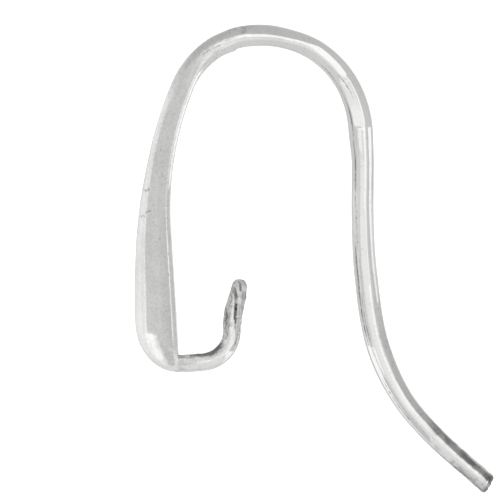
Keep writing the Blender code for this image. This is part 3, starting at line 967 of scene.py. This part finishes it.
# Upright cards on lines, or arcs as centre, radius and degrees. Low and high are their edges'
# heights over the floor, shown and shownTop the greys there, in pairs for the path's start and
# end, and behind is the grey of the left-hand side where that differs.
uprightCards = {
    "topFlag": {"arc": ((3.6, 7), 8.6, 26, 114), "high": 3.5, "shown": (204, 178)},
    "topFlagEnd": {"arc": ((3.6, 7), 8.6, 114, 138), "high": 3.5, "shown": (178, 226)},
    "tailFlag": {"line": ((11.2, 3.2), (19, -5.5)), "high": (3.4, 6.5), "shown": (204, 112)},
    "tailInner": {"line": ((8.4, -6), (13.4, -10.5)), "high": 9, "shown": (236, 182)},
    "rightEdge": {"line": ((11.6, 10.9), (12.4, 3.4)), "high": (2.4, 1.5), "shown": (260, 244)},
    "neckEdge": {
        "line": ((4.2, 11.6), (3.4, 8.2)), "high": 3.6,
        "shown": (268, 262), "shownTop": (250, 245), "behind": 206,
    },
    "crownFlag": {"line": ((2.6, 12.2), (7.2, 12.2)), "high": 3.2, "shown": 210},
    "innerFlag": {"line": ((1.7, 8), (7.7, 8)), "high": 3.5, "shown": (214, 210)},
    "dropFlag": {
        "line": ((1.1, 8), (1.1, 1)), "low": (1.3, 1.9), "high": 4,
        "shown": (198, 204), "behind": 222,
    },
    "dropLine": {
        "line": ((1.1, 8), (1.1, 1)), "low": 4, "high": (7.6, 7),
        "shown": (250, 246), "behind": 222,
    },
    "footFlag": {
        "line": ((1.1, 1), (1.1, 0.3)), "low": (1.9, 2), "high": 8,
        "shown": (212, 216), "shownTop": (195, 198), "behind": 222,
    },
    "leftWall": {"arc": ((0, 5), 30, 165, 215), "high": (7.8, 5.4), "shown": (236, 238)},
    "leftLine": {
        "arc": ((0, 5), 30, 165, 215), "low": (7.8, 5.4), "high": (10, 7.4), "shown": 252,
    },
    "upperLeftWall": {"arc": ((0, 5), 30, 118, 165), "high": (14, 10), "shown": (226, 238)},
    "footWindow": {
        "line": ((-4.36, 1.13), (-2.41, -3.2)), "low": (2.4, 1.5), "high": (5, 3.7),
        "shown": (252, 256), "shownTop": (264, 262),
    },
    "footWindowTop": {
        "line": ((-4.36, 1.13), (-2.41, -3.2)), "low": (5, 3.7), "high": (7.4, 5.9),
        "shown": (258, 250), "shownTop": (214, 208),
    },
    "footWindowSide": {
        "line": ((-2.41, -3.2), (-1.45, -5.4)), "low": (0.8, 0), "high": (4.4, 3.2),
        "shown": (252, 214), "shownTop": (232, 204),
    },
    "runWindow": {
        "line": ((0.9, -2.2), (5.1, -2.2)), "low": 1.6, "high": 6.6,
        "shown": (256, 264), "shownTop": (252, 260), "behind": 225,
    },
    "bendWindow": {
        "line": ((4.4, -0.2), (6.6, -6)), "high": (5.2, 0.6),
        "shown": 262, "shownTop": (250, 262), "behind": 254,
    },
}

# White paper under the wire, this far to both sides, and the greys of its middle and edges.
underPaper = {"reach": 1.5, "height": 0.02, "shown": (252, 198)}

# What the silver sees of the floor beyond its usual grey: patches as centre, reach and grey.
floorTones = {
    "left": ((-11, 5), 20, 244),
    "inside": ((4.2, 3), 4.5, 220),
    "belowFoot": ((0.5, -4.5), 6, 230),
    "belowBend": ((5.5, -6), 6, 232),
    "right": ((11.8, 5.5), 3, 222),
    "tail": ((16, -2), 5, 165),
}

# Gloss is the grey that the silver sees of the room and the floor.
ambient = {"gloss": 198, "floorShown": 0.97, "lamp": 2.2}


def makeTopLight(centre):
    # a rectangle that faces the wire, its half sides distance * tan(half angle)
    distance = topLight["distance"]
    across, up = np.radians(topLight["at"])
    tip, turned = math.hypot(across, up), math.atan2(up, across)
    way = np.array([math.sin(tip) * math.cos(turned), math.sin(tip) * math.sin(turned), math.cos(tip)])
    right = np.cross((0, 1, 0), way)
    right /= np.linalg.norm(right)
    halfWidth, halfHeight = distance * np.tan(np.radians(topLight["size"]) / 2)
    middle = np.array([*centre, 0]) + way * distance + np.outer((-1, 1), right * halfWidth)
    rise = np.cross(way, right) * halfHeight
    shown = topLight["shown"]
    makeCard("topLight", inRow(middle - rise), inRow(middle + rise), shown, shown)


def makeCeiling(centre):
    # rings at this distance: radius = distance * tan(angle from their middle)
    distance = ceiling["distance"]
    turn = np.linspace(0, 2 * math.pi, 73)
    circle = np.stack([np.cos(turn), np.sin(turn), 0 * turn], 1)
    middle = np.append(centre, distance)
    middle[:2] += distance * np.tan(np.radians(ceiling["at"]))
    reaches = distance * np.tan(np.radians(ceiling["radius"]))
    rings = [inRow(middle + reach * circle) for reach in reaches]
    shown = ceiling["shown"]
    for index in range(len(rings) - 1):
        makeCard(f"ceiling{index}", *rings[index:index + 2], *shown[index:index + 2])


def makeLevelCards():
    for name, row in levelCards.items():
        card = dict(zip(levelColumns, row))
        x = np.linspace(*card["x"], 20)
        heights = np.full(20, card.get("height", levelHeight))
        low, high = (inRow(np.stack([x, np.full(20, y), heights], -1)) for y in card["y"])
        makeCard(name, low, high, card["shown"], card["shown"])


def overFloor(path, heights):
    # a path of the hook's plane, in the row frame and at these heights over the floor
    row = inRow(np.column_stack([path, np.zeros(len(path))]))
    row[:, 2] = np.linspace(*np.broadcast_to(heights, 2), len(path)) * millimetre
    return row


def makeUprightCards():
    share = np.linspace(0, 1, 40)[:, None]
    for name, card in uprightCards.items():
        if "arc" in card:
            centre, radius, begin, end = card["arc"]
            turn = np.radians(begin + (end - begin) * share)
            path = np.array(centre) + radius * np.concatenate([np.cos(turn), np.sin(turn)], 1)
        else:
            path = np.array(card["line"][0]) * (1 - share) + np.array(card["line"][1]) * share
        low, high = overFloor(path, card.get("low", 0)), overFloor(path, card["high"])
        shown = card["shown"]
        makeCard(name, low, high, shown, card.get("shownTop", shown), card.get("behind"))


def makeUnderPaper():
    # two ribbons along the hook's line on the floor
    points, headings = onHook(np.linspace(0, hookLength, 160))
    aside = np.stack([-np.cos(headings), np.sin(headings)], 1) * underPaper["reach"]
    middle = overFloor(points, underPaper["height"])
    for name, side in (("paperOutside", aside), ("paperInside", -aside)):
        makeCard(name, middle, overFloor(points + side, underPaper["height"]), *underPaper["shown"])


def mirrored(tree, otherwise, colour):
    # this colour in the silver's mirroring, and the other elsewhere
    path = tree.nodes.new("ShaderNodeLightPath")
    return mixed(tree, path.outputs["Is Glossy Ray"], otherwise, colour)


def floorColour(tree, shown):
    # the floor's colour that gives this grey under the lamp
    return plainColour(tree, (float(tone(shown)) / ambient["lamp"],) * 3)


def makeFloor():
    corners = [(-1.5, -1.5, 0), (1.5, -1.5, 0), (1.5, 1.5, 0), (-1.5, 1.5, 0)]
    material, tree = newMaterial("floorPaper")
    shader = tree.nodes["Principled BSDF"]
    shader.inputs["Roughness"].default_value = 1
    shader.inputs["Specular IOR Level"].default_value = 0
    place = objectPlace(tree)
    seen = floorColour(tree, ambient["gloss"])
    for centre, radius, shown in floorTones.values():
        gap = tree.nodes.new("ShaderNodeVectorMath")
        gap.operation = "DISTANCE"
        gap.inputs[1].default_value = (*inRow((*centre, 0))[:2], 0)
        feed(tree, place, gap.inputs[0])
        edge = radius * millimetre
        near = easedRange(tree, gap.outputs["Value"], edge, 0.6 * edge)
        seen = mixed(tree, near, seen, floorColour(tree, shown))
    white = plainColour(tree, (ambient["floorShown"],) * 3)
    feed(tree, mirrored(tree, white, seen), shader.inputs["Base Color"])
    newPiece("floor", corners, [(0, 1, 2, 3)], material)


def makeLight():
    # white light from all round, seen in the silver as a grey room
    world = bpy.data.worlds.new("studio")
    bpy.context.scene.world = world
    world.use_nodes = True
    tree = world.node_tree
    white, grey = plainColour(tree, (1, 1, 1)), floorColour(tree, ambient["gloss"])
    background = tree.nodes["Background"]
    feed(tree, mirrored(tree, white, grey), background.inputs["Color"])
    background.inputs["Strength"].default_value = ambient["lamp"]
    bpy.context.scene.view_settings.view_transform = "Standard"


planeTurn, planeOrigin = hookPlane(frame["record"])
cardMaterial = makeCardMaterial()
effects = {"clouds": makeClouds(), "lines": makePolishLines(), "pits": makePitMarks()}
for make, column in zip((makeDrop, makeWire, makeLoop), zip(*finishes.values())):
    make(silverFinish(dict(zip(finishes, column))))
viewCentre = placeCamera()
makeFloor()
makeLight()
makeTopLight(viewCentre)
makeCeiling(viewCentre)
makeLevelCards()
makeUprightCards()
makeUnderPaper()
print("floor, light and cards placed")
